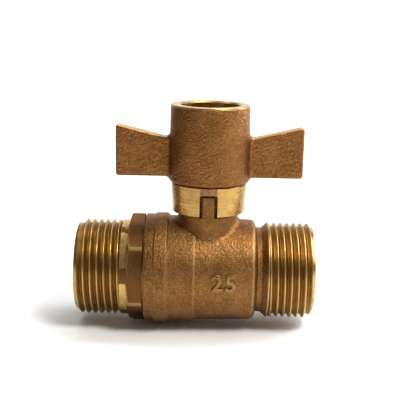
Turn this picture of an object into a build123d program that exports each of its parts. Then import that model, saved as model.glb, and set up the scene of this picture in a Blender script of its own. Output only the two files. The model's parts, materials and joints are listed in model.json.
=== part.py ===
from build123d import *
import os
from math import asin, cos, degrees, radians, sin, sqrt

# Lockable quarter-turn ball valve with male threads at both ends, a winged handle and a keyed lock ring.
# Millimetres. The origin is the centre of the inlet end face, +X runs with the flow, +Z up the stem.
# The handle is in the open position, with its wings along the pipe.

# Pipe line
inlet_length = 45.0          # inlet face to stem axis
outlet_length = 36.4         # stem axis to outlet face
bore_r = 9.5
thread_r = 16.6              # crests of the one inch pipe thread
thread_lead_x = 1.9          # end chamfer of each thread, along the pipe
thread_lead_r = 1.35         # and across it

# End connector
hex_flats = 33.6
hex_corner_r = 19.05         # turned corners of the hexagon
hex_width = 5.4
hex_turn = 5.0               # degrees about the pipe, from a flat facing the front
hex_lead = 0.8               # chamfer on the inlet side of the hexagon
collar_gap = 0.4             # between the hexagon and the body

# Outside of the body casting, distances along the pipe from the stem axis
collar_reach = 21.4
collar_lip_r = 18.9
collar_lip_width = 3.1
collar_r = 19.4
collar_width = 7.5
collar_slope = 1.0           # fall from the collar to the barrel, along the pipe
band_r = 18.5
band_reach = 4.8
band_slope = 1.6
barrel_r = 18.1              # at the stem axis side of the band
barrel_reach = 15.9
barrel_end_r = 17.45
groove_r = 14.8
groove_width = 1.6
groove_entry = 1.1           # length of the barrel's rounded shoulder
groove_runout = 2.1          # cone from the groove up to the thread
neck_r = 10.0
neck_top = 28.3
foot_half_x = 10.2           # oval foot of the neck, along the pipe
foot_half_y = 12.3           # and across it
foot_gap = 0.3               # foot to lock ring
foot_fillet = 2.0
lug_width = 4.2
lug_reach = 12.0             # front of each lug from the stem axis
lug_top = 28.2
lug_round = 0.5
cast_round = 0.45             # small steps of the casting
collar_round = 0.2
band_round = 0.15
barrel_round = 1.2
groove_round = 0.6

# Ball and seats
ball_r = 14.25
ball_wall = 4.75             # ball around its port
ball_gap = 0.45              # to the chamber wall
seat_gap = 0.05              # ball to seat
seat_wall = 3.5
seat_width = 4.2
seat_lip = 2.0               # seat behind the edge of the ball's bore
seat_relief = 0.2            # seat bore over the waterway
seat_proud = 0.6             # seat standing out of its pocket
spigot_wall = 2.75           # connector wall around the inlet seat
fit_gap = 0.05               # radial gap of screwed and pushed fits
end_gap = 0.3                # end of the spigot to the body shoulder
o_ring_section = 0.9         # radius
connector_groove_x = 2.6     # groove centre behind the collar face
spigot_lead = 0.6
ball_edge_round = 0.4

# Stem, its seals and the gland
slot_floor = 1.5             # ball left over the bore under the stem slot
tang_thickness = 5.0
tang_width = 9.6
tang_gap = 0.15
flange_r = 6.6
flange_clear = 0.65          # stem flange above the ball
flange_thickness = 2.1
flange_pocket_gap = 0.4
thrust_thickness = 1.0
stem_r = 5.0
stem_gap = 0.05
stem_ring_section = 0.7      # radius
stem_ring_pitch = 2.0
stem_seal_height = 4.6       # plain stem bore that holds the two O-rings
packing_r = 7.2
packing_height = 1.5         # each of two
gland_flats = 13.0
gland_head = 2.0
gland_gap = 0.15             # gland bore over the stem
square_flats = 7.0
square_gap = 0.05
screw_r = 2.5
screw_length = 10.0
screw_head_r = 4.25
screw_head_height = 4.0
screw_head_lead = 0.4
hex_key = 4.0
hex_key_depth = 2.4
stem_top_gap = 0.3           # stem below the handle's web, so that the screw clamps the handle

# Lock ring
ring_bottom = 21.2
ring_top = 31.35
ring_bottom_r = 12.5
ring_top_r = 13.1
ring_gap = 0.3               # ring bore to neck
ring_slot_width = 6.0
ring_slot_top = 28.8
ring_hole_gap = 1.1          # ring bore to the corners of the gland
pocket_depth = 1.5
pocket_outer_r = 12.0
ring_edge = 0.3
ring_slot_round = 0.7

# Handle
handle_bottom = 31.5
handle_top = 57.8
handle_bottom_r = 13.9
handle_top_r = 13.46
handle_round = 1.0
rim_round = 0.4
web_thickness = 6.5
screw_well_r = 8.5
lock_well_r = 10.2
lock_well_depth = 12.3
lock_well_lead = 0.5
wing_reach = 32.0
wing_bottom = 33.0
wing_root_top = 46.4         # where the top edge meets the handle's wall
wing_tip_top = 50.7
wing_thickness = 4.5
wing_round = 0.9
wing_fillet = 1.6

# Quarter turn stop
quarter_turn = 90.0
stop_pin_r = 1.25
stop_circle_r = 10.5
stop_pin_drop = 1.3          # pin below the handle
stop_pin_length = 5.3
stop_margin = 1.5            # free turn at each end, degrees
stop_start = 45.0            # pin when open, degrees about the stem from +X

# Washers under the screw
flat_washer_r = 5.4
flat_washer_thickness = 1.0
spring_washer_r = 4.6
spring_washer_thickness = 1.3
spring_washer_split = 0.8
washer_gap = 0.2             # washer bore over the screw

# Places worked out from the sizes above
stem_x = inlet_length
stem_axis = Axis((stem_x, 0, 0), (0, 0, 1))
collar_face = stem_x - collar_reach
hex_end = collar_face - collar_gap
hex_start = hex_end - hex_width
outlet_face = stem_x + outlet_length
outlet_thread_start = stem_x + barrel_reach + groove_entry + groove_width + groove_runout
port_r = ball_r - ball_wall
ball_edge = sqrt(ball_r**2 - port_r**2)
seat_bore_r = port_r + seat_relief
seat_r = seat_bore_r + seat_wall
seat_back = ball_edge + seat_lip
seat_front = seat_back - seat_width
pocket_mouth = seat_front + seat_proud
spigot_r = seat_r + fit_gap + spigot_wall
chamber_r = ball_r + ball_gap
slot_bottom = port_r + slot_floor
flange_bottom = ball_r + flange_clear
flange_top = flange_bottom + flange_thickness
stem_seat = flange_top + thrust_thickness
packing_floor = stem_seat + stem_seal_height
packing_middle = packing_floor + packing_height
packing_top = packing_middle + packing_height
gland_corner_r = gland_flats / sqrt(3)
ring_hole_r = gland_corner_r + ring_hole_gap
foot_top = ring_bottom - foot_gap
web_top = handle_bottom + web_thickness
stem_top = web_top - stem_top_gap
lock_well_floor = handle_top - lock_well_depth
pocket_floor = ring_top - pocket_depth
head_bottom = web_top + flat_washer_thickness + spring_washer_thickness
screw_bottom = head_bottom - screw_length

cut_over = 1.0                # how far a cut runs past the face it opens


def ring_about_stem(bottom, top, inner, outer):
    """A plain ring on the stem axis."""
    return revolve(
        make_face(
            Plane.XZ
            * Polyline(
                (stem_x + inner, bottom),
                (stem_x + outer, bottom),
                (stem_x + outer, top),
                (stem_x + inner, top),
                close=True,
            )
        ),
        stem_axis,
    )


def rod_about_stem(bottom, top, radius):
    """A plain round rod on the stem axis."""
    place = Pos(stem_x, 0, bottom)
    return place * Cylinder(radius, top - bottom, align=(Align.CENTER, Align.CENTER, Align.MIN))


def rod_along_pipe(start, end, radius):
    """A plain round rod on the pipe axis, between two places along X."""
    place = Pos(start, 0, 0) * Rot(0, 90, 0)
    return place * Cylinder(radius, end - start, align=(Align.CENTER, Align.CENTER, Align.MIN))


def turned_on_pipe(points, radii):
    """A solid of revolution on the pipe axis from an outline with rounded corners."""
    return revolve(make_face(Plane.XZ * FilletPolyline(*points, radius=radii, close=True)), Axis.X)


def turned_on_stem(points, radii):
    """A solid of revolution on the stem axis; the outline's first number is its radius."""
    placed = [(stem_x + radius, height) for radius, height in points]
    return revolve(make_face(Plane.XZ * FilletPolyline(*placed, radius=radii, close=True)), stem_axis)


def make_body():
    """The cast body: collar, band, tapered barrel, neck with two lugs, and the turned outlet."""
    collar_end = collar_face + collar_width
    groove_start = stem_x + barrel_reach + groove_entry
    outline = [
        (collar_face, 0),
        (collar_face, collar_lip_r),
        (collar_face + collar_lip_width, collar_lip_r),
        (collar_face + collar_lip_width + cast_round, collar_r),
        (collar_end, collar_r),
        (collar_end + collar_slope, barrel_r),
        (stem_x - band_reach, barrel_r),
        (stem_x + barrel_reach, barrel_end_r),
        (groove_start, groove_r),
        (groove_start + groove_width, groove_r),
        (outlet_thread_start, thread_r),
        (outlet_face - thread_lead_x, thread_r),
        (outlet_face, thread_r - thread_lead_r),
        (outlet_face, 0),
    ]
    rounds = [0, collar_round, cast_round, cast_round, cast_round, cast_round, 0]
    rounds += [barrel_round, groove_round, groove_round, 0, 0, 0, 0]
    barrel = turned_on_pipe(outline, rounds)
    foot = Pos(stem_x, 0, 0) * extrude(Ellipse(foot_half_x, foot_half_y), foot_top)
    casting = barrel + foot
    casting = fillet(new_edges(barrel, foot, combined=casting), foot_fillet)
    casting += rod_about_stem(0, neck_top, neck_r)

    lug_height = lug_top - foot_top + cut_over
    lugs = Pos(stem_x, 0, lug_top - lug_height / 2) * Box(lug_width, 2 * lug_reach, lug_height)
    casting += fillet(lugs.faces().sort_by(Axis.Z)[-1].edges() + lugs.edges().filter_by(Axis.Z), lug_round)

    band_outline = [
        (collar_end - cast_round, chamber_r),
        (collar_end - cast_round, band_r),
        (stem_x - band_reach, band_r),
        (stem_x - band_reach + band_slope, barrel_end_r),
        (stem_x - band_reach + band_slope, chamber_r),
    ]
    casting += turned_on_pipe(band_outline, [0, 0, band_round, 0, 0])

    shoulder = stem_x - pocket_mouth + end_gap
    casting -= rod_along_pipe(collar_face - cut_over, shoulder, spigot_r + fit_gap)
    casting -= rod_along_pipe(shoulder - cut_over, stem_x + pocket_mouth, chamber_r)
    casting -= rod_along_pipe(stem_x, stem_x + seat_back, seat_r + fit_gap)
    casting -= rod_along_pipe(stem_x, outlet_face + cut_over, bore_r)
    casting -= rod_about_stem(0, stem_seat, flange_r + flange_pocket_gap)
    casting -= rod_about_stem(0, neck_top + cut_over, stem_r + stem_gap)
    casting -= rod_about_stem(packing_floor, neck_top + cut_over, packing_r + fit_gap)
    return casting


def make_end_connector():
    """The turned inlet piece: thread, hexagon, and the spigot that holds the inlet seat."""
    spigot_end = stem_x - pocket_mouth
    outline = [
        (0, bore_r),
        (0, thread_r - thread_lead_r),
        (thread_lead_x, thread_r),
        (hex_end - hex_lead, thread_r),
        (hex_end - hex_lead, spigot_r),
        (spigot_end - spigot_lead, spigot_r),
        (spigot_end, spigot_r - spigot_lead),
        (spigot_end, seat_r + fit_gap),
        (stem_x - seat_back, seat_r + fit_gap),
        (stem_x - seat_back, bore_r),
    ]
    turned = turned_on_pipe(outline, [0] * len(outline))
    blank_outline = [
        (hex_start, bore_r),
        (hex_start, thread_r),
        (hex_start + hex_lead, hex_corner_r),
        (hex_end, hex_corner_r),
        (hex_end, bore_r),
    ]
    blank = turned_on_pipe(blank_outline, [0] * len(blank_outline))
    hexagon = RegularPolygon(hex_flats / 2, 6, major_radius=False, rotation=30 - hex_turn)
    prism = extrude(Plane.YZ.offset(hex_start) * hexagon, hex_width)
    groove_middle = collar_face + connector_groove_x
    groove_half = o_ring_section + fit_gap
    groove_floor = spigot_r - 2 * o_ring_section - fit_gap
    groove = rod_along_pipe(groove_middle - groove_half, groove_middle + groove_half, spigot_r + cut_over)
    groove -= rod_along_pipe(groove_middle - groove_half, groove_middle + groove_half, groove_floor)
    return turned + (blank & prism) - groove


def make_connector_o_ring():
    """The O-ring on the spigot, inside the body collar."""
    place = Pos(collar_face + connector_groove_x, 0, 0) * Rot(0, 90, 0)
    return place * Torus(spigot_r - o_ring_section, o_ring_section)


def make_inlet_seat():
    """The seat ring in the connector's spigot, with a face that fits the ball."""
    ends = (stem_x - seat_back, stem_x - seat_front)
    seat = rod_along_pipe(*ends, seat_r) - rod_along_pipe(*ends, seat_bore_r)
    return seat - Pos(stem_x, 0, 0) * Sphere(ball_r + seat_gap)


def make_ball():
    """The bored ball, with a slot across its top for the stem."""
    ball = Pos(stem_x, 0, 0) * Sphere(ball_r)
    bored = ball - rod_along_pipe(stem_x - ball_r, stem_x + ball_r, port_r)
    bored = fillet(bored.edges().filter_by(GeomType.CIRCLE), ball_edge_round)
    slot_height = ball_r - slot_bottom
    slot_place = Pos(stem_x, 0, slot_bottom + slot_height / 2)
    return bored - slot_place * Box(tang_thickness + 2 * tang_gap, 2 * ball_r, slot_height)


def stem_ring_heights():
    """Heights of the two O-rings on the stem."""
    middle = stem_seat + stem_seal_height / 2
    return middle - stem_ring_pitch / 2, middle + stem_ring_pitch / 2


def make_stem():
    """The stem: tang, flange, sealed shaft, and the square that carries the handle."""
    tang_bottom = slot_bottom + tang_gap
    tang_height = flange_bottom - tang_bottom
    stem = Pos(stem_x, 0, tang_bottom + tang_height / 2) * Box(tang_thickness, tang_width, tang_height)
    stem += rod_about_stem(flange_bottom, flange_top, flange_r)
    stem += rod_about_stem(flange_top, handle_bottom, stem_r)
    square_height = stem_top - handle_bottom
    square = Pos(stem_x, 0, handle_bottom + square_height / 2) * Box(square_flats, square_flats, square_height)
    stem += square & rod_about_stem(handle_bottom, stem_top, stem_r)
    stem -= rod_about_stem(screw_bottom - end_gap, stem_top, screw_r + fit_gap)
    groove_half = stem_ring_section + fit_gap
    for height in stem_ring_heights():
        floor = stem_r - 2 * stem_ring_section - fit_gap
        stem -= ring_about_stem(height - groove_half, height + groove_half, floor, stem_r + cut_over)
    return stem


def make_gland_nut():
    """The gland nut: a screwed sleeve on the packing, with a hexagon above the neck."""
    gland = rod_about_stem(packing_top, neck_top, packing_r)
    hexagon = RegularPolygon(gland_flats / 2, 6, major_radius=False)
    gland += Pos(stem_x, 0, neck_top) * extrude(hexagon, gland_head)
    return gland - rod_about_stem(packing_top, neck_top + gland_head, stem_r + gland_gap)


def make_lock_ring():
    """The turned ring keyed on the body's lugs, with the pocket that stops the handle."""
    skirt_r = neck_r + ring_gap
    outline = [
        (skirt_r, ring_bottom),
        (ring_bottom_r, ring_bottom),
        (ring_top_r, ring_top),
        (ring_hole_r, ring_top),
        (ring_hole_r, neck_top),
        (skirt_r, neck_top),
    ]
    ring = turned_on_stem(outline, [0, ring_edge, ring_edge, 0, 0, 0])
    slot_height = ring_slot_top - ring_bottom + cut_over
    slot = Pos(stem_x, 0, ring_slot_top - slot_height / 2) * Box(ring_slot_width, 3 * ring_top_r, slot_height)
    slot = fillet(slot.faces().sort_by(Axis.Z)[-1].edges().filter_by(Axis.Y), ring_slot_round)
    pin_half = degrees(asin(stop_pin_r / stop_circle_r)) + stop_margin
    pocket_outline = [
        (stem_x + ring_hole_r - cut_over, pocket_floor),
        (stem_x + pocket_outer_r, pocket_floor),
        (stem_x + pocket_outer_r, ring_top + cut_over),
        (stem_x + ring_hole_r - cut_over, ring_top + cut_over),
    ]
    pocket_face = make_face(Plane.XZ * Polyline(*pocket_outline, close=True))
    pocket = revolve(pocket_face, stem_axis, quarter_turn + 2 * pin_half)
    return ring - slot - pocket.rotate(stem_axis, stop_start - quarter_turn - pin_half)


def make_handle():
    """The cast handle: a hollow post with two wings, a square hole and the well for the lock barrel."""
    post_outline = [(0, handle_bottom), (handle_bottom_r, handle_bottom), (handle_top_r, handle_top), (0, handle_top)]
    post = turned_on_stem(post_outline, [0, handle_round, rim_round, 0])
    slope = (wing_tip_top - wing_root_top) / (wing_reach - handle_bottom_r)
    root_x = lock_well_r
    wing_outline = [
        (stem_x + root_x, wing_bottom),
        (stem_x + wing_reach, wing_bottom),
        (stem_x + wing_reach, wing_tip_top),
        (stem_x + root_x, wing_root_top - slope * (handle_bottom_r - root_x)),
    ]
    wing = extrude(make_face(Plane.XZ * Polyline(*wing_outline, close=True)), wing_thickness / 2, both=True)
    wing = fillet(wing.edges(), wing_round)
    wings = wing + wing.rotate(stem_axis, 180)
    handle = post + wings
    handle = fillet(new_edges(post, wings, combined=handle), wing_fillet)
    handle -= rod_about_stem(web_top, handle_top, screw_well_r)
    handle -= rod_about_stem(lock_well_floor, handle_top, lock_well_r)
    rim = handle.edges().filter_by(GeomType.CIRCLE).group_by(Axis.Z)[-1].sort_by(SortBy.RADIUS)[0]
    handle = chamfer(rim, lock_well_lead)
    square = square_flats + 2 * square_gap
    hole = Pos(stem_x, 0, handle_bottom + web_thickness / 2) * Box(square, square, web_thickness)
    hole &= rod_about_stem(handle_bottom, web_top, stem_r + square_gap)
    return handle - hole - stop_pin_rod(stop_pin_r + fit_gap)


def stop_pin_rod(radius):
    """The place of the stop pin, as a rod of a given radius."""
    angle = radians(stop_start)
    across = (stem_x + stop_circle_r * cos(angle), stop_circle_r * sin(angle))
    place = Pos(*across, handle_bottom - stop_pin_drop)
    return place * Cylinder(radius, stop_pin_length, align=(Align.CENTER, Align.CENTER, Align.MIN))


def make_spring_washer():
    """The split spring washer under the screw head."""
    bottom = web_top + flat_washer_thickness
    top = bottom + spring_washer_thickness
    washer = ring_about_stem(bottom, top, screw_r + washer_gap, spring_washer_r)
    split_place = Pos(stem_x + spring_washer_r / 2, 0, (bottom + top) / 2)
    return washer - split_place * Box(spring_washer_r, spring_washer_split, spring_washer_thickness)


def make_handle_screw():
    """The socket head screw that holds the handle on the stem."""
    head_top = head_bottom + screw_head_height
    screw = rod_about_stem(screw_bottom, head_bottom, screw_r)
    head = rod_about_stem(head_bottom, head_top, screw_head_r)
    head = chamfer(head.edges().filter_by(GeomType.CIRCLE).sort_by(Axis.Z)[-1], screw_head_lead)
    socket = extrude(RegularPolygon(hex_key / 2, 6, major_radius=False), hex_key_depth)
    return screw + head - Pos(stem_x, 0, head_top - hex_key_depth) * socket


def main():
    os.makedirs("parts", exist_ok=True)
    inlet_seat = make_inlet_seat()
    lower_ring, upper_ring = stem_ring_heights()
    stem_ring_r = stem_r - stem_ring_section
    packing_bore = stem_r + stem_gap
    pieces = {
        "body": make_body(),
        "end_connector": make_end_connector(),
        "connector_o_ring": make_connector_o_ring(),
        "inlet_seat": inlet_seat,
        "outlet_seat": mirror(inlet_seat, about=Plane.YZ.offset(stem_x)),
        "ball": make_ball(),
        "stem": make_stem(),
        "thrust_washer": ring_about_stem(flange_top, stem_seat, packing_bore, flange_r),
        "stem_o_ring_lower": Pos(stem_x, 0, lower_ring) * Torus(stem_ring_r, stem_ring_section),
        "stem_o_ring_upper": Pos(stem_x, 0, upper_ring) * Torus(stem_ring_r, stem_ring_section),
        "packing_lower": ring_about_stem(packing_floor, packing_middle, packing_bore, packing_r),
        "packing_upper": ring_about_stem(packing_middle, packing_top, packing_bore, packing_r),
        "gland_nut": make_gland_nut(),
        "lock_ring": make_lock_ring(),
        "handle": make_handle(),
        "stop_pin": stop_pin_rod(stop_pin_r),
        "flat_washer": ring_about_stem(
            web_top, web_top + flat_washer_thickness, screw_r + washer_gap, flat_washer_r
        ),
        "spring_washer": make_spring_washer(),
        "handle_screw": make_handle_screw(),
    }
    for name, piece in pieces.items():
        export_step(piece, f"parts/{name}.step")


main()
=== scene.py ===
import bpy
import json
import math
from mathutils import Matrix, Vector

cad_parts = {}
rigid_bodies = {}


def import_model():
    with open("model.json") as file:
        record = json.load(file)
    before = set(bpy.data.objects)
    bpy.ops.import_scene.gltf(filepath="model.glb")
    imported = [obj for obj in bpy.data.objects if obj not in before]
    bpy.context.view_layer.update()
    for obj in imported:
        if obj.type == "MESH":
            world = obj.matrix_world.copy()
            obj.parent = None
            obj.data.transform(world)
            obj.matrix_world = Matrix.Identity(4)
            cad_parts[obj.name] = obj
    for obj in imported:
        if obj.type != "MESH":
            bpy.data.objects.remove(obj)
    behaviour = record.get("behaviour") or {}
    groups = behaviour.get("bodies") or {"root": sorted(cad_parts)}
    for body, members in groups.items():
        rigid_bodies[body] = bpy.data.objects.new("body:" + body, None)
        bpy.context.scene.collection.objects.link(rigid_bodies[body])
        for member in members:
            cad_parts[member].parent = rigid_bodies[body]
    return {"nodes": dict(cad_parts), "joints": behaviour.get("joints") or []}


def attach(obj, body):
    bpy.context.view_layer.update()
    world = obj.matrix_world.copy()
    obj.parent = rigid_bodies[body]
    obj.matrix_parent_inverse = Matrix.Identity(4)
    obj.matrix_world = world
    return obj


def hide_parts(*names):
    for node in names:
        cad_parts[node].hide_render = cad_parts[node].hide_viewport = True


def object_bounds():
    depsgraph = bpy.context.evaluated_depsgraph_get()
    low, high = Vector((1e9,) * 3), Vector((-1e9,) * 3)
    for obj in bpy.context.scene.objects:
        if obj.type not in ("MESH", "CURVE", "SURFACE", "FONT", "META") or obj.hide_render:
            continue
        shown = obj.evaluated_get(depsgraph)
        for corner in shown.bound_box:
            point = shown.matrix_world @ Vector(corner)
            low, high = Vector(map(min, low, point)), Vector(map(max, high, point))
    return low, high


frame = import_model()
cadLow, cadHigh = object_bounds()
mm = 0.001
beyond = 1.0           # metres, further out than any edge of the valve
mergeDistance = 1e-6
cutThreshold = 1e-7    # small, so that a bisect leaves close neighbours alone
stemX = frame["joints"][0]["pos_m"][0]  # the stem axis crosses the pipe here
print("frame loaded:", len(frame["nodes"]), "nodes, stem axis at", stemX)


# small helpers for working as by hand

def only(piece):
    if bpy.context.object and bpy.context.object.mode != "OBJECT":
        bpy.ops.object.mode_set(mode="OBJECT")
    bpy.ops.object.select_all(action="DESELECT")
    piece.select_set(True)
    bpy.context.view_layer.objects.active = piece


def editMode(piece):
    only(piece)
    bpy.ops.object.mode_set(mode="EDIT")
    bpy.ops.mesh.select_all(action="DESELECT")


def objectMode():
    bpy.ops.object.mode_set(mode="OBJECT")


def pickVerts(piece, test):
    bpy.ops.mesh.select_mode(type="VERT")
    objectMode()
    for v in piece.data.vertices:
        v.select = test(v.co)
    bpy.ops.object.mode_set(mode="EDIT")


def applyPlace(piece):
    only(piece)
    bpy.ops.object.transform_apply(location=True, rotation=True, scale=True)


def applyModifiers(piece):
    only(piece)
    for modifier in list(piece.modifiers):
        bpy.ops.object.modifier_apply(modifier=modifier.name)


def smooth(piece, degrees):
    only(piece)
    bpy.ops.object.shade_smooth_by_angle(angle=math.radians(degrees))


def dress(piece, material):
    piece.data.materials.clear()
    piece.data.materials.append(material)


def pipeRadius(co):
    return math.hypot(co.y, co.z)


def copyOfNode(node, name):
    source = frame["nodes"][node]
    piece = source.copy()
    piece.data = source.data.copy()
    piece.name = name
    bpy.context.scene.collection.objects.link(piece)
    editMode(piece)
    bpy.ops.mesh.select_all(action="SELECT")
    bpy.ops.mesh.remove_doubles(threshold=mergeDistance)
    objectMode()
    if piece.data.has_custom_normals:
        bpy.ops.mesh.customdata_custom_splitnormals_clear()
    return piece


# camera where the photograph was taken

viewpoint = {
    "place": (0.0441, -0.2756, 0.0874),
    "azimuth": 0.43,  # degrees, turned to the left of square on
    "down": 12.85,
    "roll": 1.16,
    "lens": 73.38,
}


def makeCamera(v):
    azimuth, down, roll = (math.radians(v[k]) for k in ("azimuth", "down", "roll"))
    level = Vector((-math.sin(azimuth), math.cos(azimuth), 0))
    ahead = level * math.cos(down) - Vector((0, 0, math.sin(down)))
    right = Vector((math.cos(azimuth), math.sin(azimuth), 0))
    up = right.cross(ahead)
    tiltedRight = right * math.cos(roll) + up * math.sin(roll)
    tiltedUp = up * math.cos(roll) - right * math.sin(roll)
    turn = Matrix((tiltedRight, tiltedUp, -ahead)).transposed()
    bpy.ops.object.camera_add(location=v["place"], rotation=turn.to_euler())
    camera = bpy.context.object
    camera.name = "photoCamera"
    camera.data.lens = v["lens"]
    camera.data.sensor_width = 36
    camera.data.clip_start = 0.01
    bpy.context.scene.camera = camera


makeCamera(viewpoint)
print("camera placed")

# a sweep of white paper, soft lamps and a grey room

studio = {
    "paperWidth": 6.0,
    "paperFront": -3.0,
    "paperBack": 0.75,
    "paperRise": 1.2,
    "paperBend": 0.45,
    "paperColour": (0.87, 0.87, 0.865, 1),
    "roomColour": (1.0, 0.99, 0.97, 1),
    "roomStrength": 0.20,
    # name: place, aim, width, height, watts, colour
    "lamps": {
        "keyLamp": ((0.30, -0.24, 0.48), (0.045, 0, 0.01), 0.18, 0.18, 3.0, (1.0, 0.98, 0.95)),
        "topLamp": ((0.20, 0.06, 0.58), (0.045, 0, 0.01), 0.40, 0.30, 0.95, (1.0, 0.98, 0.96)),
        "sideLamp": ((0.46, 0.14, 0.22), (0.045, 0, 0.03), 0.24, 0.36, 2.0, (0.93, 0.97, 1.0)),
        "paperLamp": ((0.045, 0.25, 0.75), (0.045, 0.75, 0.10), 0.80, 0.20, 4.5, (1.0, 1.0, 1.0)),
    },
    # name: place, lean and turn in degrees, width, height
    "cards": {
        "wallCard": ((-0.19, -0.06, 0.16), 90, 90, 0.32, 0.32),
        "leftCard": ((-0.076, 0.125, 0.02), 90, 101, 0.17, 0.08),
        "rightCard": ((0.165, 0.11, 0.02), 90, 75, 0.06, 0.08),
        "leftFloorCard": ((-0.185, 0.115, -0.0185), 0, 13, 0.22, 0.22),
        "rightFloorCard": ((0.225, 0.055, -0.0185), 0, -13, 0.14, 0.06),
    },
    "cardColour": (0.10, 0.095, 0.09, 1),
}


def plainMatt(name, colour):
    material = bpy.data.materials.new(name)
    material.use_nodes = True
    shader = material.node_tree.nodes["Principled BSDF"]
    shader.inputs["Base Color"].default_value = colour
    shader.inputs["Roughness"].default_value = 0.9
    shader.inputs["Specular IOR Level"].default_value = 0.1
    return material


def makePaper(s):
    bpy.ops.object.select_all(action="DESELECT")
    middle = (s["paperFront"] + s["paperBack"]) / 2
    floorHeight = cadLow.z - 0.02 * mm
    bpy.ops.mesh.primitive_plane_add(size=1, location=(stemX, middle, floorHeight))
    paper = bpy.context.object
    paper.name = "paperSweep"
    paper.scale = (s["paperWidth"], s["paperBack"] - s["paperFront"], 1)
    applyPlace(paper)
    editMode(paper)
    pickVerts(paper, lambda co: co.y > s["paperBack"] - mm)
    bpy.ops.mesh.select_mode(type="EDGE")
    bpy.ops.mesh.extrude_region_move(TRANSFORM_OT_translate={"value": (0, 0, s["paperRise"])})
    pickVerts(paper, lambda co: co.y > s["paperBack"] - mm and co.z < floorHeight + mm)
    bpy.ops.mesh.select_mode(type="EDGE")
    bpy.ops.mesh.bevel(offset=s["paperBend"], segments=24, affect="EDGES")
    objectMode()
    smooth(paper, degrees=40)
    dress(paper, plainMatt("whitePaper", s["paperColour"]))


def makeCards(cards, colour):
    # dark cards that only the bright metal mirrors, as a photographer sets them beside the picture
    black = plainMatt("cardBlack", colour)
    for name, (place, lean, degrees, width, height) in cards.items():
        bpy.ops.object.select_all(action="DESELECT")
        turn = (math.radians(lean), 0, math.radians(degrees))
        bpy.ops.mesh.primitive_plane_add(size=1, location=place, rotation=turn)
        card = bpy.context.object
        card.name = name
        card.scale = (width, height, 1)
        applyPlace(card)
        card.visible_camera = card.visible_shadow = card.visible_diffuse = False
        dress(card, black)


def makeLamps(lamps):
    for name, (place, aim, width, height, watts, colour) in lamps.items():
        turn = (Vector(aim) - Vector(place)).to_track_quat("-Z", "Y").to_euler()
        bpy.ops.object.light_add(type="AREA", location=place, rotation=turn)
        lamp = bpy.context.object
        lamp.name = name
        lamp.data.shape = "RECTANGLE"
        lamp.data.size = width
        lamp.data.size_y = height
        lamp.data.energy = watts
        lamp.data.color = colour


def makeRoom(s):
    world = bpy.data.worlds.new("greyRoom")
    world.use_nodes = True
    bpy.context.scene.world = world
    room = world.node_tree.nodes["Background"]
    room.inputs["Color"].default_value = s["roomColour"]
    room.inputs["Strength"].default_value = s["roomStrength"]
    bpy.context.scene.view_settings.view_transform = "Standard"


makePaper(studio)
makeCards(studio["cards"], studio["cardColour"])
makeLamps(studio["lamps"])
makeRoom(studio)
print("studio lit by", len(studio["lamps"]), "lamps")


# shader building

columnWidth, rowHeight = 220, 170   # of the node layout


def addNode(tree, kind, column, row, **settings):
    node = tree.nodes.new(kind)
    node.location = (columnWidth * column, -rowHeight * row)
    for key, value in settings.items():
        setattr(node, key, value)
    return node


def feed(tree, socket, value):
    if isinstance(value, bpy.types.NodeSocket):
        tree.links.new(value, socket)
    else:
        socket.default_value = value


def maths(tree, operation, first, second=0.0, column=0, row=0):
    node = addNode(tree, "ShaderNodeMath", column, row, operation=operation)
    feed(tree, node.inputs[0], first)
    feed(tree, node.inputs[1], second)
    return node.outputs[0]


def mix(tree, kind, mask, first, second, column=0, row=0):
    node = addNode(tree, "ShaderNodeMix", column, row, data_type=kind)
    sockets = [s for s in node.inputs if s.enabled]
    feed(tree, sockets[0], mask)
    feed(tree, sockets[1], first)
    feed(tree, sockets[2], second)
    return next(s for s in node.outputs if s.enabled)


def noise(tree, vector, scale, detail, roughness, column=0, row=0):
    node = addNode(tree, "ShaderNodeTexNoise", column, row)
    feed(tree, node.inputs["Vector"], vector)
    feed(tree, node.inputs["Scale"], scale)
    node.inputs["Detail"].default_value = detail
    node.inputs["Roughness"].default_value = roughness
    return node.outputs["Fac"]


def rise(tree, value, low, high, column=0, row=0):
    node = addNode(tree, "ShaderNodeMapRange", column, row, interpolation_type="SMOOTHSTEP")
    feed(tree, node.inputs["Value"], value)
    feed(tree, node.inputs["From Min"], low)
    feed(tree, node.inputs["From Max"], high)
    return node.outputs["Result"]


def newGroup(name, inputs, outputs):
    tree = bpy.data.node_groups.new(name, "ShaderNodeTree")
    for socketName, kind, start in inputs:
        socket = tree.interface.new_socket(socketName, in_out="INPUT", socket_type=kind)
        if start is not None:
            socket.default_value = start
    for socketName in outputs:
        tree.interface.new_socket(socketName, in_out="OUTPUT", socket_type="NodeSocketFloat")
    source = addNode(tree, "NodeGroupInput", 0, 0)
    result = addNode(tree, "NodeGroupOutput", 9, 0)
    return tree, source.outputs, result.inputs


def useGroup(tree, group, column, row, **values):
    node = addNode(tree, "ShaderNodeGroup", column, row, node_tree=group)
    for key, value in values.items():
        feed(tree, node.inputs[key.replace("_", " ")], value)
    return node.outputs


def blend(tree, first, second, share, column, row):
    # that share of the first, the rest of the second
    return maths(tree, "ADD", maths(tree, "MULTIPLY", first, share, column, row),
                 maths(tree, "MULTIPLY", second, 1 - share, column, row + 1), column + 1, row)


grainMix = {
    "gritFiner": 1.7,          # than the lumps
    "lumpShare": 0.65,         # of the height, the rest is grit
    "broadPerMetre": 170.0,    # slow changes of tone
    "broadShare": 0.35,        # of the tone, the rest is grit
    "toneSpan": (0.36, 0.64),
    "rubbedSpan": (0.54, 0.70),
}
lineMix = {
    "lineShare": 0.45,         # of the tone, the rest is tarnish
    "tarnishPerMetre": 420.0,
    "toneSpan": (0.34, 0.66),
}


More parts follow.
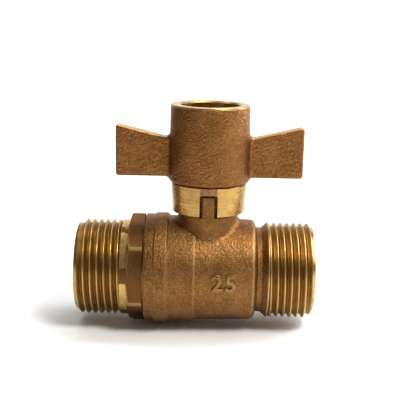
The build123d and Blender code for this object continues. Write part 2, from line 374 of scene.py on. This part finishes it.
def makeSandGrain(g):
    # lumps left by the sand mould, a fine grit on them, slow changes of tone, and rubbed tops
    tree, given, wanted = newGroup(
        "sandGrain",
        [("Vector", "NodeSocketVector", None), ("Grain Size", "NodeSocketFloat", 0.8)],
        ["Height", "Mottle", "Rubbed"],
    )
    perMetre = maths(tree, "DIVIDE", 1 / mm, given["Grain Size"], 1, 0)
    lumps = noise(tree, given["Vector"], perMetre, 2.0, 0.5, 2, 0)
    gritScale = maths(tree, "MULTIPLY", perMetre, g["gritFiner"], 1, 1)
    grit = noise(tree, given["Vector"], gritScale, 2.0, 0.6, 2, 1)
    broad = noise(tree, given["Vector"], g["broadPerMetre"], 3.0, 0.55, 2, 2)
    height = blend(tree, lumps, grit, g["lumpShare"], 3, 0)
    tone = blend(tree, broad, grit, g["broadShare"], 3, 2)
    feed(tree, wanted["Height"], height)
    feed(tree, wanted["Mottle"], rise(tree, tone, *g["toneSpan"], 5, 2))
    feed(tree, wanted["Rubbed"], rise(tree, height, *g["rubbedSpan"], 5, 3))
    return tree


def makeToolLines(m):
    # fine rings that a lathe tool leaves along one axis, with slow changes of tone
    tree, given, wanted = newGroup(
        "toolLines",
        [("Along", "NodeSocketFloat", 0.0), ("Vector", "NodeSocketVector", None),
         ("Pitch", "NodeSocketFloat", 0.12)],
        ["Height", "Tone"],
    )
    inMillimetres = maths(tree, "MULTIPLY", given["Along"], 1 / mm, 1, 0)
    steps = maths(tree, "DIVIDE", inMillimetres, given["Pitch"], 2, 0)
    lines = addNode(tree, "ShaderNodeTexNoise", 3, 0, noise_dimensions="1D")
    feed(tree, lines.inputs["W"], steps)
    lines.inputs["Scale"].default_value = 1.0
    lines.inputs["Detail"].default_value = 2.0
    tarnish = noise(tree, given["Vector"], m["tarnishPerMetre"], 4.0, 0.6, 3, 2)
    tone = blend(tree, lines.outputs["Fac"], tarnish, m["lineShare"], 4, 0)
    feed(tree, wanted["Height"], lines.outputs["Fac"])
    feed(tree, wanted["Tone"], rise(tree, tone, *m["toneSpan"], 6, 0))
    return tree


def makeBetween():
    # 1 where Value lies between Low and High, with soft ends
    tree, given, wanted = newGroup(
        "between",
        [(name, "NodeSocketFloat", 0.0) for name in ("Value", "Low", "High", "Soft")],
        ["Mask"],
    )
    ends = []
    for row, edge in enumerate(("Low", "High")):
        below = maths(tree, "SUBTRACT", given[edge], given["Soft"], 1, row)
        above = maths(tree, "ADD", given[edge], given["Soft"], 1, row + 2)
        ends.append(rise(tree, given["Value"], below, above, 2, row))
    feed(tree, wanted["Mask"], maths(tree, "SUBTRACT", ends[0], ends[1], 3, 0))
    return tree


def makeAxisRadius():
    # distance from an axis: the two coordinates across it, less its place
    tree, given, wanted = newGroup(
        "axisRadius",
        [(name, "NodeSocketFloat", 0.0) for name in ("First", "Second", "First Centre")],
        ["Radius"],
    )
    across = maths(tree, "SUBTRACT", given["First"], given["First Centre"], 1, 0)
    squares = maths(tree, "ADD", maths(tree, "MULTIPLY", across, across, 2, 0),
                    maths(tree, "MULTIPLY", given["Second"], given["Second"], 2, 1), 3, 0)
    feed(tree, wanted["Radius"], maths(tree, "SQRT", squares, 0.0, 4, 0))
    return tree


sandGrain = makeSandGrain(grainMix)
toolLines = makeToolLines(lineMix)
between = makeBetween()
axisRadius = makeAxisRadius()


def radiusOfPipe(tree, axes):
    return useGroup(tree, axisRadius, 2, 0, First=axes["Y"], Second=axes["Z"])["Radius"]


def radiusOfStem(tree, axes):
    found = useGroup(tree, axisRadius, 2, 2, First=axes["X"], Second=axes["Y"], First_Centre=stemX)
    return found["Radius"]


def band(tree, value, low, high, soft, column, row):
    return useGroup(tree, between, column, row, Value=value, Low=low, High=high, Soft=soft)["Mask"]


castLook = {
    "dark": (0.158, 0.071, 0.021, 1),
    "light": (0.315, 0.151, 0.048, 1),
    "rubbed": (0.52, 0.31, 0.135, 1),
    "rubbedShare": 0.32,
    "grain": 0.85,      # mm
    "bump": 0.28,       # mm
    "coarse": None,     # from, to, soft ends, how much deeper the grain is there
    "roughness": (0.40, 0.52),
}
turnedLook = {
    "dark": (0.38, 0.217, 0.065, 1),
    "light": (0.57, 0.352, 0.118, 1),
    "grimeDark": (0.26, 0.140, 0.036, 1),
    "grimeLight": (0.43, 0.258, 0.076, 1),
    "grimeRoughness": 0.40,
    "wearAndPaintedLight": (0.75, 0.54, 0.25, 1),
    "wornRoughness": 0.48,
    "pitch": 0.10,      # mm between tool lines
    "bump": 0.012,
    "roughness": (0.20, 0.32),
}


def bronzeMaterial(name, along, zones, cast=castLook, turned=turnedLook):
    # zones gives masks: where it was turned bright, where grime sits on that, and where it is pale from
    # wear and painted light
    material = bpy.data.materials.new(name)
    material.use_nodes = True
    tree = material.node_tree
    shader = tree.nodes["Principled BSDF"]
    shader.location = (columnWidth * 12, 0)
    tree.nodes["Material Output"].location = (columnWidth * 14, 0)
    place = addNode(tree, "ShaderNodeTexCoord", 0, 0).outputs["Object"]
    split = addNode(tree, "ShaderNodeSeparateXYZ", 1, 0)
    feed(tree, split.inputs[0], place)
    axes = split.outputs
    bright, grime, wearAndPaintedLight = zones(tree, axes)
    grain = useGroup(tree, sandGrain, 2, 8, Vector=place, Grain_Size=cast["grain"])
    lines = useGroup(tree, toolLines, 2, 10, Along=axes[along], Vector=place, Pitch=turned["pitch"])

    skin = mix(tree, "RGBA", grain["Mottle"], cast["dark"], cast["light"], 8, 0)
    rubbed = maths(tree, "MULTIPLY", grain["Rubbed"], cast["rubbedShare"], 8, 1)
    skin = mix(tree, "RGBA", rubbed, skin, cast["rubbed"], 9, 0)
    cut = mix(tree, "RGBA", lines["Tone"], turned["dark"], turned["light"], 8, 2)
    stain = mix(tree, "RGBA", grain["Mottle"], turned["grimeDark"], turned["grimeLight"], 8, 3)
    cut = mix(tree, "RGBA", grime, cut, stain, 9, 2)
    colour = mix(tree, "RGBA", bright, skin, cut, 10, 0)
    # pale colour for wear, and for the painted highlights and painted light on crests, edges, corners,
    # rim, wing tops and figures
    colour = mix(tree, "RGBA", wearAndPaintedLight, colour, turned["wearAndPaintedLight"], 11, 0)
    feed(tree, shader.inputs["Base Color"], colour)

    skinRough = mix(tree, "FLOAT", grain["Rubbed"], cast["roughness"][1], cast["roughness"][0], 8, 4)
    cutRough = mix(tree, "FLOAT", lines["Tone"], turned["roughness"][1], turned["roughness"][0], 8, 5)
    cutRough = mix(tree, "FLOAT", grime, cutRough, turned["grimeRoughness"], 9, 5)
    rough = mix(tree, "FLOAT", bright, skinRough, cutRough, 10, 4)
    rough = mix(tree, "FLOAT", wearAndPaintedLight, rough, turned["wornRoughness"], 11, 4)
    feed(tree, shader.inputs["Roughness"], rough)
    shader.inputs["Metallic"].default_value = 1.0

    skinHeight = maths(tree, "MULTIPLY", grain["Height"], cast["bump"], 8, 7)
    if cast["coarse"]:
        low, high, soft, deeper = cast["coarse"]
        coarse = band(tree, axes[along], low, high, soft, 7, 12)
        depth = maths(tree, "ADD", maths(tree, "MULTIPLY", coarse, deeper, 8, 12), 1.0, 9, 12)
        skinHeight = maths(tree, "MULTIPLY", skinHeight, depth, 9, 7)
    cutHeight = maths(tree, "MULTIPLY", lines["Height"], turned["bump"], 8, 8)
    bump = addNode(tree, "ShaderNodeBump", 11, 7)
    bump.inputs["Distance"].default_value = mm
    feed(tree, bump.inputs["Height"], mix(tree, "FLOAT", bright, skinHeight, cutHeight, 10, 7))
    feed(tree, shader.inputs["Normal"], bump.outputs["Normal"])
    return material


# pipe threads, cut on copies of the two threaded pieces

thread = {
    "pitch": 2.309 * mm,
    "crest": 16.6 * mm,
    "root": 15.12 * mm,
    "base": 15.08 * mm,      # ridge sunk into the core
    "wall": 13.6 * mm,       # further out is the outside of the pipe
    "slack": 0.01 * mm,      # a corner on the cut counts as thread
    "baseWidth": 2.29 * mm,
    "crestWidth": 0.22 * mm,
    "crestRound": 0.07 * mm,
    "steps": 80,             # to a turn
    "leadAlong": 1.9 * mm,   # end chamfer
    "leadAcross": 1.35 * mm,
    "endGap": 0.02 * mm,     # the ridge stops short of the end face
    "cleanEnd": 1.2 * mm,    # no grime on the end chamfer
    "grimeSoft": 0.4 * mm,
    "paleCrestDepth": 0.14 * mm,  # rubbed wear and painted highlight, down from the top
    "crestSoft": 0.4 * mm / 3,
}


def threadRidge(name, firstCrest, turns, t=thread):
    # firstCrest is where the crest first passes the top of the pipe
    depth = t["crest"] - t["base"]
    bpy.ops.object.select_all(action="DESELECT")
    place = (firstCrest, 0, t["base"] + depth / 2)
    bpy.ops.mesh.primitive_plane_add(size=1, location=place, rotation=(math.pi / 2, 0, 0))
    ridge = bpy.context.object
    ridge.name = name
    ridge.scale = (t["baseWidth"], depth, 1)
    applyPlace(ridge)
    editMode(ridge)
    pickVerts(ridge, lambda co: co.z > t["base"] + depth / 2)
    narrowing = (t["crestWidth"] / t["baseWidth"], 1, 1)
    bpy.ops.transform.resize(value=narrowing, center_override=(firstCrest, 0, t["crest"]))
    bpy.ops.mesh.bevel(offset=t["crestRound"], segments=2, affect="VERTICES")
    bpy.ops.mesh.select_all(action="SELECT")
    bpy.ops.mesh.delete(type="ONLY_FACE")
    objectMode()
    sweep = ridge.modifiers.new("helix", "SCREW")
    sweep.axis = "X"
    sweep.angle = 2 * math.pi * turns
    sweep.screw_offset = t["pitch"] * turns
    sweep.steps = sweep.render_steps = int(t["steps"] * turns)
    applyModifiers(ridge)
    editMode(ridge)
    bpy.ops.mesh.select_all(action="SELECT")
    bpy.ops.mesh.fill_holes(sides=0)
    bpy.ops.mesh.select_all(action="SELECT")
    bpy.ops.mesh.normals_make_consistent(inside=False)
    objectMode()
    return ridge


def trimRidge(ridge, endFace, outward, t=thread):
    # the ridge stays inside the end chamfer and stops just short of the end face
    for v in ridge.data.vertices:
        inward = (endFace - v.co.x) * outward
        limit = t["crest"] - t["leadAcross"] * min(1.0, max(0.0, 1 - inward / t["leadAlong"]))
        radius = pipeRadius(v.co)
        if radius > limit:
            v.co.y *= limit / radius
            v.co.z *= limit / radius
    editMode(ridge)
    bpy.ops.mesh.select_all(action="SELECT")
    stop = (endFace - t["endGap"] * outward, 0, 0)
    bpy.ops.mesh.bisect(plane_co=stop, plane_no=(outward, 0, 0), clear_outer=True, use_fill=True,
                        threshold=cutThreshold)
    objectMode()


def slimCore(piece, cuts, inThread, t=thread):
    # the plain cylinder is drawn in to the root of the thread
    editMode(piece)
    for x in cuts:
        bpy.ops.mesh.select_all(action="SELECT")
        bpy.ops.mesh.bisect(plane_co=(x, 0, 0), plane_no=(1, 0, 0), threshold=cutThreshold)
    objectMode()
    for v in piece.data.vertices:
        radius = pipeRadius(v.co)
        if inThread(v.co.x) and radius > t["wall"]:
            v.co.y *= t["root"] / radius
            v.co.z *= t["root"] / radius


def weld(piece, addition):
    union = piece.modifiers.new("weld", "BOOLEAN")
    union.operation = "UNION"
    union.solver = "EXACT"
    union.object = addition
    applyModifiers(piece)
    bpy.data.objects.remove(addition)


def threadMarks(tree, axes, radius, span, share, row, t=thread):
    # dark in the roots, pale on the crests from rubbed wear and a painted highlight, clean on the end
    # chamfer
    top = t["crest"] - t["paleCrestDepth"]
    along = band(tree, axes["X"], span[0], span[1], t["grimeSoft"], 4, row)
    roots = band(tree, radius, t["base"], top, t["crestSoft"], 4, row + 1)
    crests = band(tree, radius, top, beyond, t["crestSoft"], 4, row + 2)
    # pale crests: rubbed wear and painted highlight
    rubbed = maths(tree, "MULTIPLY", crests, share, 5, row + 2)
    grime = maths(tree, "MULTIPLY", roots, along, 6, row)
    wearAndPaintedLight = maths(tree, "MULTIPLY", rubbed, along, 6, row + 2)
    return grime, wearAndPaintedLight


connector = {
    "firstCrest": 0.52 * mm,     # at the top of the pipe
    "turns": 6.8,
    "crestShare": 0.26,
    "runOut": 0.6 * mm,
    "shoulder": (15.5 * mm, 18.0 * mm),   # plain band between thread and hexagon
    "shoulderSoft": 0.1 * mm,
    "shoulderWorn": 0.30,
    "blotchPerMetre": 600.0,     # wear on the shoulder, and the ragged edge of its skin
    "patchSpan": (0.10, 0.80),
    "hexFrom": 17.9 * mm,        # cast skin on the hexagon, at the thread's radius
    "hexTo": 23.4 * mm,
    "hexSoft": 0.08 * mm,
    "hexLead": 0.8 / 2.45,       # fall of the hexagon's chamfer
    "outside": (16.5 * mm, 16.7 * mm),    # radius, so that its end face stays bright
    "corner": 19.05 * mm,        # radius of its corners
    "cornerBand": 0.16 * mm,
    "cornerWearAndHighlightShare": 0.25,
    "flats": ((55, 0.0), (115, 0.16), (175, 0.0)),   # degrees about the pipe, mm sunk
    "skinFrom": 16.39 * mm,      # towards a flat: the tool left the skin on the shoulder past this
    "skinSoft": 0.02 * mm,
    "ragged": 0.30 * mm,
}


def makeConnector(c):
    piece = copyOfNode("end_connector", "inlet_connector")
    rootEnd = c["shoulder"][0] - c["runOut"]
    slimCore(piece, (rootEnd, c["shoulder"][0]), lambda x: x < rootEnd + thread["slack"])
    ridge = threadRidge("inletRidge", c["firstCrest"], c["turns"])
    trimRidge(ridge, 0.0, -1)
    weld(piece, ridge)
    smooth(piece, degrees=32)
    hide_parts("end_connector")
    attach(piece, "valve_body")
    return piece


def hexSkin(tree, axes, radius, c):
    # cast skin on the hexagon, up to where its chamfer was turned
    overThread = maths(tree, "SUBTRACT", radius, thread["crest"], 3, 2)
    chamfer = maths(tree, "MULTIPLY", overThread, c["hexLead"], 4, 2)
    fromChamfer = maths(tree, "SUBTRACT", axes["X"], chamfer, 5, 2)
    return band(tree, fromChamfer, c["hexFrom"], c["hexTo"], c["hexSoft"], 6, 2)


def shoulderSkin(tree, axes, blotch, c):
    # skin that the tool left on the shoulder, in the middle of each flat
    toFlat = 0.0
    for row, (turn, sunk) in enumerate(c["flats"], 12):
        level = maths(tree, "MULTIPLY", axes["Y"], math.cos(math.radians(turn)), 3, row)
        upright = maths(tree, "MULTIPLY", axes["Z"], math.sin(math.radians(turn)), 3, row + 3)
        across = maths(tree, "ADD", level, upright, 4, row)
        reach = maths(tree, "ABSOLUTE", across, 0.0, 5, row)
        reach = maths(tree, "SUBTRACT", reach, sunk * mm, 6, row)
        toFlat = maths(tree, "MAXIMUM", reach, toFlat, 7, row)
    wander = maths(tree, "MULTIPLY", blotch, c["ragged"], 5, 19)
    wander = maths(tree, "SUBTRACT", wander, c["ragged"] / 2, 6, 19)
    ragged = maths(tree, "ADD", toFlat, wander, 7, 19)
    return rise(tree, ragged, c["skinFrom"] - c["skinSoft"], c["skinFrom"] + c["skinSoft"], 8, 19)


def connectorZones(tree, axes):
    # bright all over, apart from the skin on the hexagon and on some of the shoulder
    c = connector
    radius = radiusOfPipe(tree, axes)
    place = addNode(tree, "ShaderNodeTexCoord", 3, 19).outputs["Object"]
    blotch = noise(tree, place, c["blotchPerMetre"], 2.0, 0.5, 4, 19)
    onHex = hexSkin(tree, axes, radius, c)
    outside = rise(tree, radius, *c["outside"], 6, 4)
    onShoulder = band(tree, axes["X"], *c["shoulder"], c["shoulderSoft"], 8, 12)
    tongues = maths(tree, "MULTIPLY", shoulderSkin(tree, axes, blotch, c), onShoulder, 9, 12)
    rough = maths(tree, "MAXIMUM", maths(tree, "MULTIPLY", onHex, outside, 7, 2), tongues, 10, 2)
    bright = maths(tree, "SUBTRACT", 1.0, rough, 11, 2)
    # pale hexagon corners: wrench wear and a painted highlight along them
    cornerWearAndHighlight = rise(tree, radius, c["corner"] - c["cornerBand"], c["corner"], 6, 6)
    cornerWearAndHighlight = maths(tree, "MULTIPLY", cornerWearAndHighlight, onHex, 7, 6)
    cornerWearAndHighlight = maths(tree, "MULTIPLY", cornerWearAndHighlight, c["cornerWearAndHighlightShare"], 8, 6)
    patches = rise(tree, blotch, *c["patchSpan"], 5, 20)
    patches = maths(tree, "MULTIPLY", patches, c["shoulderWorn"], 6, 20)
    shoulder = maths(tree, "MULTIPLY", onShoulder, bright, 12, 6)
    shoulder = maths(tree, "MULTIPLY", shoulder, patches, 13, 6)
    wearAndPaintedLight = maths(tree, "MAXIMUM", cornerWearAndHighlight, shoulder, 14, 6)
    threaded = (thread["cleanEnd"], c["shoulder"][0])
    grime, crests = threadMarks(tree, axes, radius, threaded, c["crestShare"], 8)
    return bright, grime, maths(tree, "MAXIMUM", wearAndPaintedLight, crests, 15, 6)


hexLook = dict(castLook, dark=(0.12, 0.053, 0.017, 1), light=(0.165, 0.074, 0.024, 1), rubbedShare=0.12,
               grain=0.6, bump=0.05, roughness=(0.36, 0.46))
connectorPiece = makeConnector(connector)
connectorLook = dict(turnedLook, grimeDark=(0.23, 0.126, 0.032, 1), grimeLight=(0.385, 0.232, 0.068, 1),
                     wearAndPaintedLight=(0.88, 0.59, 0.21, 1))
dress(connectorPiece, bronzeMaterial("connectorBrass", "X", connectorZones, hexLook, connectorLook))
print("inlet connector:", len(connectorPiece.data.polygons), "faces")

bodyShape = {
    "shallowStep": (39.9 * mm, 41.3 * mm),   # from the band down to the barrel
    "stepFlush": 0.02 * mm,      # its edges run round the pipe
    "coneEnd": 65.95 * mm,
    "rootStart": 66.75 * mm,
    "firstCrest": 66.0 * mm,
    "turns": 7.6,
    "crestShare": 0.42,
    "turnedFrom": 65.6 * mm,
    "turnedSoft": 0.15 * mm,
    "boreRadius": 14.2 * mm,
    "boreSoft": 0.1 * mm,
    "wornEdgesAndPaintedLight": (
        # from and to along the pipe, and the radius they lie under, in mm, then the share; rubbed wear
        # and painted highlight on the step edges, and on the first, the collar step, painted light that
        # evens out the shade on its left-facing face
        (26.5, 27.3, 19.5, 0.09),
        (31.0, 31.9, 19.5, 0.20),
        (40.2, 40.9, 18.55, 0.16),
        (60.1, 60.9, 18.0, 0.18),
    ),
    "edgeBandSoft": 0.2 * mm,
    "underSoft": 0.1 * mm,
}


def keepCrisp(piece, span, flush):
    # a shallow step round the pipe that smooth shading would wash out
    editMode(piece)
    bpy.ops.mesh.select_mode(type="EDGE")
    objectMode()
    for edge in piece.data.edges:
        first, second = (piece.data.vertices[i].co.x for i in edge.vertices)
        edge.select = span[0] < first < span[1] and abs(first - second) < flush
    bpy.ops.object.mode_set(mode="EDIT")
    bpy.ops.mesh.mark_sharp()
    objectMode()


def makeBody(b):
    piece = copyOfNode("body", "cast_body")
    slimCore(piece, (b["coneEnd"], b["rootStart"]), lambda x: x > b["rootStart"] - thread["slack"])
    ridge = threadRidge("outletRidge", b["firstCrest"], b["turns"])
    trimRidge(ridge, cadHigh.x, 1)
    weld(piece, ridge)
    smooth(piece, degrees=32)
    keepCrisp(piece, b["shallowStep"], b["stepFlush"])
    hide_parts("body")
    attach(piece, "valve_body")
    return piece


def bodyZones(tree, axes):
    # bright at the outlet and in the bore; pale along the steps of the barrel from rubbed wear and
    # painted highlight, and painted light over the shade of the collar step
    b = bodyShape
    radius = radiusOfPipe(tree, axes)
    outlet = band(tree, axes["X"], b["turnedFrom"], beyond, b["turnedSoft"], 4, 0)
    bore = band(tree, radius, -beyond, b["boreRadius"], b["boreSoft"], 4, 1)
    bright = maths(tree, "MAXIMUM", outlet, bore, 6, 0)
    threaded = (b["turnedFrom"], cadHigh.x - thread["cleanEnd"])
    grime, crests = threadMarks(tree, axes, radius, threaded, b["crestShare"], 3)
    wearAndPaintedLight = 0.0
    # each band is rubbed wear and painted highlight on a step edge; the first is painted light over the
    # collar step's shade
    for row, (low, high, top, share) in enumerate(b["wornEdgesAndPaintedLight"], 6):
        edge = band(tree, axes["X"], low * mm, high * mm, b["edgeBandSoft"], 4, row)
        under = rise(tree, radius, top * mm + b["underSoft"], top * mm - b["underSoft"], 4, row + 4)
        rubbed = maths(tree, "MULTIPLY", edge, under, 5, row)
        rubbed = maths(tree, "MULTIPLY", rubbed, share, 6, row)
        wearAndPaintedLight = maths(tree, "MAXIMUM", rubbed, wearAndPaintedLight, 7, row)
    return bright, grime, maths(tree, "MAXIMUM", wearAndPaintedLight, crests, 8, 6)


bodyPiece = makeBody(bodyShape)
bodyLook = dict(castLook, coarse=(20.0 * mm, 31.2 * mm, 0.4 * mm, 0.6))
dress(bodyPiece, bronzeMaterial("bodyBronze", "X", bodyZones, bodyLook))
print("cast body:", len(bodyPiece.data.polygons), "faces")

# raised size figures on the front of the barrel

figures = {
    "text": "25",
    "size": 8.0 * mm,
    "spacing": 1.15,
    "middle": (50.6 * mm, -0.1 * mm),   # along the pipe, up
    "raised": 0.68 * mm,
    "sunk": 0.4 * mm,
    "stroke": 0.06 * mm,     # added to each side of a stroke
    "soft": 0.20 * mm,
    "paintedHighlightShare": 0.12,
    "barrel": ((40.2 * mm, 18.1 * mm), (60.9 * mm, 17.45 * mm)),   # place and radius at its two ends
}
figureLook = dict(castLook, bump=0.15, roughness=(0.28, 0.40))


def figureZones(tree, axes):
    # the whole raised figures a little paler: a painted highlight standing in for the light on their
    # edges
    return 0.0, 0.0, figures["paintedHighlightShare"]


def makeFigures(f):
    bpy.ops.object.select_all(action="DESELECT")
    bpy.ops.object.text_add(location=(f["middle"][0], 0, f["middle"][1]), rotation=(math.pi / 2, 0, 0))
    piece = bpy.context.object
    piece.name = "size_figures"
    text = piece.data
    text.body = f["text"]
    text.size = f["size"]
    text.space_character = f["spacing"]
    text.align_x = "CENTER"
    text.align_y = "CENTER"
    text.extrude = (f["raised"] + f["sunk"]) / 2 - f["soft"]
    text.offset = f["stroke"]
    text.bevel_depth = f["soft"]
    text.bevel_resolution = 2
    bpy.ops.object.convert(target="MESH")
    applyPlace(piece)
    (startX, startR), (endX, endR) = f["barrel"]
    for v in piece.data.vertices:
        radius = startR + (endR - startR) * (v.co.x - startX) / (endX - startX)
        lift = (f["raised"] - f["sunk"]) / 2 - v.co.y
        v.co.y = -math.sqrt(radius ** 2 - v.co.z ** 2) - lift
    editMode(piece)
    bpy.ops.mesh.select_all(action="SELECT")
    bpy.ops.mesh.remove_doubles(threshold=mergeDistance)
    bpy.ops.mesh.normals_make_consistent(inside=False)
    objectMode()
    smooth(piece, degrees=40)
    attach(piece, "valve_body")
    dress(piece, bronzeMaterial("figureBronze", "X", figureZones, cast=figureLook))
    return piece


figurePiece = makeFigures(figures)
print("figures:", len(figurePiece.data.polygons), "faces")

# handle, lock ring and stem keep their own meshes

handleShape = {
    "rimFrom": 57.15 * mm,
    "rimSoft": 0.12 * mm,
    "rimHighlightShare": 0.2,
    "wellRadius": 10.85 * mm,
    "wellSoft": 0.1 * mm,
    "wingSpan": (14.0 * mm, 15.0 * mm),     # from the stem axis, where wear and painted top light set in
    "upwardSpan": (0.45, 0.9),              # of the normal
    "handledAndTopLightShare": 0.4,
}
ringShape = {
    "skinHalf": 2.9 * mm,                   # cast skin left over the slot
    "skinSoft": 0.7 * mm,
    "skinSpan": (28.2 * mm, 29.2 * mm),     # about the slot's top
    "frontSpan": (0.0, -10.0 * mm),         # none at the back
    "skinShare": 0.9,
}


def handleZones(tree, axes):
    # bright on the rim and in the well, with a painted highlight on the rim, and handling wear with
    # painted top light on the upward faces of the wings
    h = handleShape
    rim = band(tree, axes["Z"], h["rimFrom"], beyond, h["rimSoft"], 4, 0)
    radius = radiusOfStem(tree, axes)
    well = band(tree, radius, -beyond, h["wellRadius"], h["wellSoft"], 4, 2)
    facing = addNode(tree, "ShaderNodeSeparateXYZ", 2, 5)
    feed(tree, facing.inputs[0], addNode(tree, "ShaderNodeTexCoord", 1, 5).outputs["Normal"])
    upward = rise(tree, facing.outputs["Z"], *h["upwardSpan"], 4, 5)
    outOnWing = rise(tree, radius, *h["wingSpan"], 4, 6)
    handledAndTopLight = maths(tree, "MULTIPLY", upward, outOnWing, 6, 5)
    handledAndTopLight = maths(tree, "MULTIPLY", handledAndTopLight, h["handledAndTopLightShare"], 7, 5)
    # rim paler as a painted highlight; wing tops paler as handling wear and painted top light
    wearAndPaintedLight = maths(tree, "MAXIMUM", maths(tree, "MULTIPLY", rim, h["rimHighlightShare"], 6, 6), handledAndTopLight, 8, 5)
    return maths(tree, "MAXIMUM", rim, well, 6, 0), 0.0, wearAndPaintedLight


def ringZones(tree, axes):
    # the cut over the slot left some of the cast skin
    r = ringShape
    across = maths(tree, "ABSOLUTE", maths(tree, "SUBTRACT", axes["X"], stemX, 3, 0), 0.0, 4, 0)
    overSlot = band(tree, across, -beyond, r["skinHalf"], r["skinSoft"], 5, 0)
    high = rise(tree, axes["Z"], *r["skinSpan"], 5, 1)
    front = rise(tree, axes["Y"], *r["frontSpan"], 5, 2)
    skin = maths(tree, "MULTIPLY", maths(tree, "MULTIPLY", overSlot, high, 6, 0), front, 7, 0)
    skin = maths(tree, "MULTIPLY", skin, r["skinShare"], 8, 0)
    return maths(tree, "SUBTRACT", 1.0, skin, 9, 0), 0.0, 0.0


def turnedAllOver(tree, axes):
    return 1.0, 0.0, 0.0


handleLook = dict(castLook, dark=(0.185, 0.077, 0.022, 1), light=(0.335, 0.147, 0.046, 1), bump=0.46,
                  roughness=(0.28, 0.41))
dress(frame["nodes"]["handle"], bronzeMaterial("handleBronze", "Z", handleZones, cast=handleLook))
ringLook = dict(turnedLook, pitch=0.16, bump=0.03, roughness=(0.16, 0.26))
ringSkin = dict(castLook, dark=(0.15, 0.095, 0.05, 1), light=(0.50, 0.20, 0.085, 1), rubbedShare=0.15,
                grain=1.6, bump=0.06)
dress(frame["nodes"]["lock_ring"], bronzeMaterial("ringBrass", "Z", ringZones, ringSkin, ringLook))
stemBrass = bronzeMaterial("stemBrass", "Z", turnedAllOver)
for node in ("stem", "gland_nut"):
    dress(frame["nodes"][node], stemBrass)
print("handle, lock ring and stem dressed")

# finishes of the inner pieces

innerFinishes = {
    # name: first colour, second colour, metallic, roughness range, grain to the metre, bump in mm
    "ballChrome": ((0.70, 0.71, 0.72, 1), (0.82, 0.82, 0.83, 1), 1.0, (0.08, 0.16), 900, 0.002),
    "seatWhite": ((0.78, 0.78, 0.75, 1), (0.88, 0.88, 0.86, 1), 0.0, (0.38, 0.52), 1500, 0.01),
    "sealBlack": ((0.012, 0.012, 0.012, 1), (0.03, 0.03, 0.032, 1), 0.0, (0.45, 0.62), 2500, 0.01),
    "screwSteel": ((0.42, 0.42, 0.42, 1), (0.62, 0.62, 0.61, 1), 1.0, (0.25, 0.42), 1200, 0.006),
}
finishNodes = {
    "ballChrome": ("ball",),
    "seatWhite": ("inlet_seat", "outlet_seat", "thrust_washer", "packing_lower", "packing_upper"),
    "sealBlack": ("connector_o_ring", "stem_o_ring_lower", "stem_o_ring_upper"),
    "screwSteel": ("stop_pin", "flat_washer", "spring_washer", "handle_screw"),
}


def innerMaterial(name, first, second, metallic, roughness, grain, bumpHeight):
    material = bpy.data.materials.new(name)
    material.use_nodes = True
    tree = material.node_tree
    shader = tree.nodes["Principled BSDF"]
    place = addNode(tree, "ShaderNodeTexCoord", -5, 0).outputs["Object"]
    speckle = noise(tree, place, grain, 4.0, 0.6, -4, 0)
    feed(tree, shader.inputs["Base Color"], mix(tree, "RGBA", speckle, first, second, -2, 0))
    feed(tree, shader.inputs["Roughness"], mix(tree, "FLOAT", speckle, *roughness, -2, 2))
    shader.inputs["Metallic"].default_value = metallic
    bump = addNode(tree, "ShaderNodeBump", -2, 3)
    bump.inputs["Distance"].default_value = bumpHeight * mm
    feed(tree, bump.inputs["Height"], speckle)
    feed(tree, shader.inputs["Normal"], bump.outputs["Normal"])
    return material


for finish, nodes in finishNodes.items():
    material = innerMaterial(finish, *innerFinishes[finish])
    for node in nodes:
        dress(frame["nodes"][node], material)
print("inner pieces dressed")
